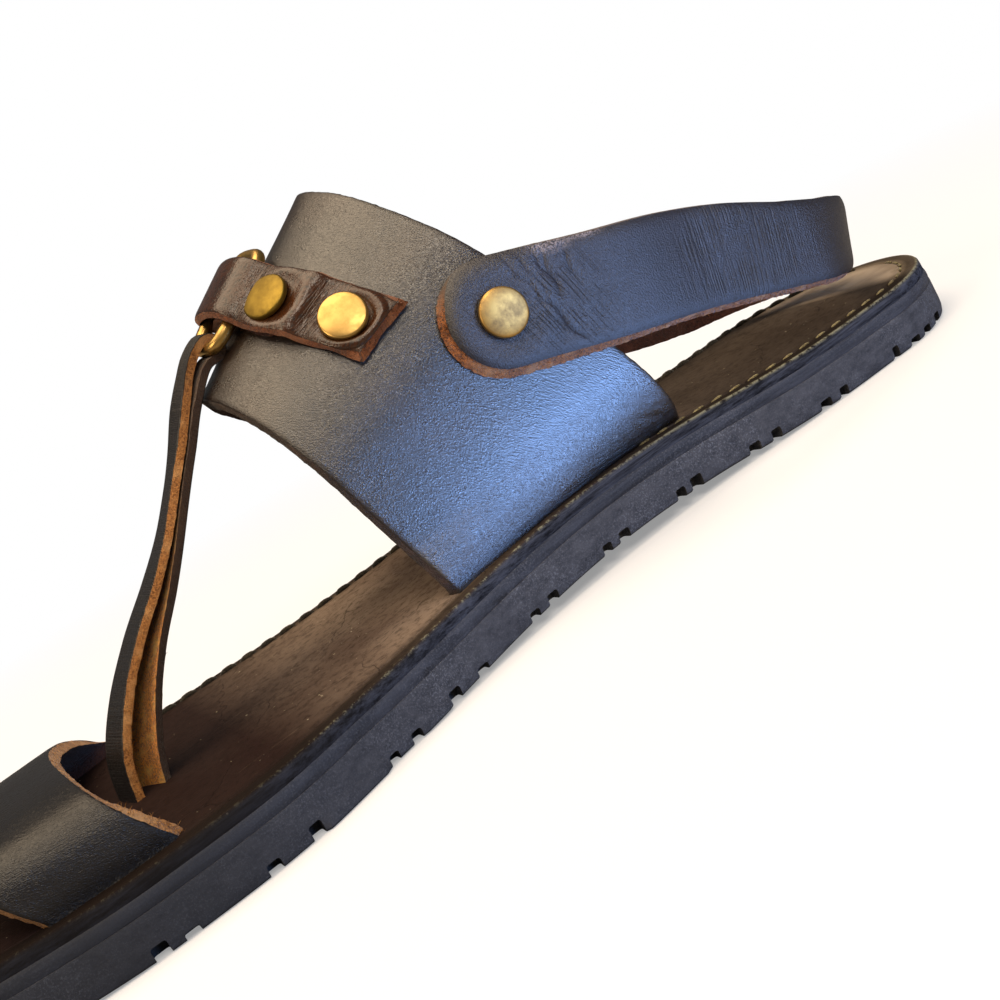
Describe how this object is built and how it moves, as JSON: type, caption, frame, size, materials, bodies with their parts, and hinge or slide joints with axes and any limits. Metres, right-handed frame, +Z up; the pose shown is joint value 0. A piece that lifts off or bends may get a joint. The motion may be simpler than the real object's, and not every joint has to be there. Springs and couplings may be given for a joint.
{
  "type": "gladiator sandal",
  "caption": "Flat leather sandal with a wide instep band, riveted heel strap, ring-and-tab T-strap and toe strap on a lugged rubber sole.",
  "frame": {"origin": "centre of the sole's outline, on the floor", "axes": "+X towards the toe along the sole, +Y towards the inner (medial) side, +Z up"},
  "size_m": [0.3, 0.0994, 0.0975],
  "materials": {
    "strap_leather": "waxed dark brown grain leather with raw tan edges",
    "footbed_leather": "worn brown leather with creases and scratches",
    "midsole_leather": "dark edge-dressed leather board",
    "sole_rubber": "dusty black rubber with a fine grain",
    "brass": "polished antique brass"
  },
  "bodies": {
    "root": {"outsole": "sole_rubber", "midsole": "midsole_leather", "insole": "footbed_leather", "instep_band": "strap_leather", "heel_strap": "strap_leather", "toe_strap": "strap_leather", "t_strap": "strap_leather", "ring_tab": "strap_leather", "ring": "brass", "heel_rivet_medial": "brass", "heel_rivet_lateral": "brass", "tab_rivet_back": "brass", "tab_rivet_front": "brass"}
  },
  "joints": []
}
